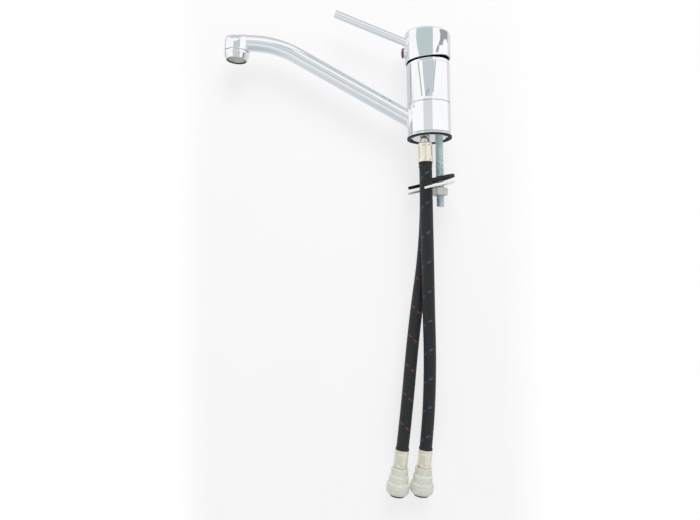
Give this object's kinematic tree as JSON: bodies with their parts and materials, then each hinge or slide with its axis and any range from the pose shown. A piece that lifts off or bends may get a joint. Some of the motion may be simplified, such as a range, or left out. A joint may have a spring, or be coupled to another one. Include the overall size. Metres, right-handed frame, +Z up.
{
  "type": "mixer tap",
  "caption": "Chrome single-lever sink mixer with swivel spout, ceramic cartridge, stud clamp and braided push-fit tails.",
  "frame": {"origin": "on the deck, in the middle of the column, at the underside of the base gasket", "axes": "+Z up along the column, spout towards -X, cold tail on the -Y side"},
  "size_m": [0.2244, 0.0503, 0.4816],
  "materials": {
    "chrome": "polished chrome plate",
    "brass": "machined",
    "steel": "bright",
    "nickel": "nickel-plated brass",
    "zinc_steel": "zinc plated",
    "ferrule": "pale gold, crimped",
    "black_rubber": "matt",
    "braid": "black braid with one coloured tracer",
    "black_plastic": "matt",
    "white_plastic": "natural acetal",
    "grey_plastic": "pale grey-green, moulded",
    "dark_plastic": "moulded",
    "maroon": "glossy",
    "ceramic": "lapped"
  },
  "bodies": {
    "base": {"body_casting": "chrome", "base_ring": "chrome", "base_gasket": "black_rubber", "slide_ring_lower": "white_plastic", "slide_ring_upper": "white_plastic", "spout_seals": "black_rubber", "cartridge_base": "white_plastic", "port_seals": "black_rubber", "fixed_disc": "ceramic", "cartridge_housing": "white_plastic", "cartridge_nut": "brass", "gap_collar": "black_plastic", "fixing_stud": "zinc_steel", "tail_nipple_cold": "nickel", "tail_o_ring_cold": "black_rubber", "upper_ferrule_cold": "ferrule", "hose_cold": "braid", "lower_ferrule_cold": "ferrule", "connector_barb_cold": "brass", "connector_body_cold": "grey_plastic", "connector_seal_cold": "black_rubber", "grab_ring_cold": "steel", "connector_cap_cold": "grey_plastic", "tail_nipple_hot": "nickel", "tail_o_ring_hot": "black_rubber", "upper_ferrule_hot": "ferrule", "hose_hot": "braid", "lower_ferrule_hot": "ferrule", "connector_barb_hot": "brass", "connector_body_hot": "grey_plastic", "connector_seal_hot": "black_rubber", "grab_ring_hot": "steel", "connector_cap_hot": "grey_plastic"},
    "spout": {"spout": "chrome", "aerator_housing": "chrome", "aerator_mesh": "steel", "aerator_insert": "white_plastic", "aerator_seal": "black_rubber"},
    "turret": {"turret": "white_plastic", "spindle_pin": "steel"},
    "disc_slider": {"disc_carrier": "white_plastic", "moving_disc": "ceramic"},
    "lever": {"spindle": "steel", "handle_cap": "chrome", "lever_rod": "chrome", "index_button": "maroon", "grub_screw": "steel"},
    "clamp": {"clamp_plate": "zinc_steel", "clamp_rubber": "black_rubber"},
    "nut": {"clamp_nut": "zinc_steel"},
    "collet_cold": {"collet_cold": "dark_plastic"},
    "collet_hot": {"collet_hot": "dark_plastic"}
  },
  "joints": [
    {"name": "spout_swivel", "type": "hinge", "parent": "base", "child": "spout", "pos_m": [0, 0, 0], "axis": [0, 0, 1], "continuous": true},
    {"name": "temperature_turn", "type": "hinge", "parent": "base", "child": "turret", "pos_m": [0, 0, 0], "axis": [0, 0, 1], "range_deg": [-45, 45]},
    {"name": "lever_lift", "type": "hinge", "parent": "turret", "child": "lever", "pos_m": [0, 0, 0.068], "axis": [0, 1, 0], "range_deg": [-3, 8]},
    {"name": "disc_travel", "type": "slide", "parent": "turret", "child": "disc_slider", "axis": [-1, 0, 0], "range_m": [-0.0005, 0.001]},
    {"name": "clamp_travel", "type": "slide", "parent": "base", "child": "clamp", "axis": [0, 0, 1], "range_m": [-0.008, 0.032]},
    {"name": "nut_turn", "type": "hinge", "parent": "clamp", "child": "nut", "pos_m": [0.0094, 0, 0], "axis": [0, 0, 1], "range_deg": [-2308, 9220]},
    {"name": "collet_push_cold", "type": "slide", "parent": "base", "child": "collet_cold", "axis": [0.1219, -0.0113, 0.9925], "range_m": [0, 0.0015]},
    {"name": "collet_push_hot", "type": "slide", "parent": "base", "child": "collet_hot", "axis": [0.1359, -0.0028, 0.9907], "range_m": [0, 0.0015]}
  ],
  "couplings": [
    {"joint": "disc_travel", "follows": "lever_lift", "m_per_rad": 0.007},
    {"joint": "nut_turn", "follows": "clamp_travel", "rad_per_m": 5026.5}
  ]
}
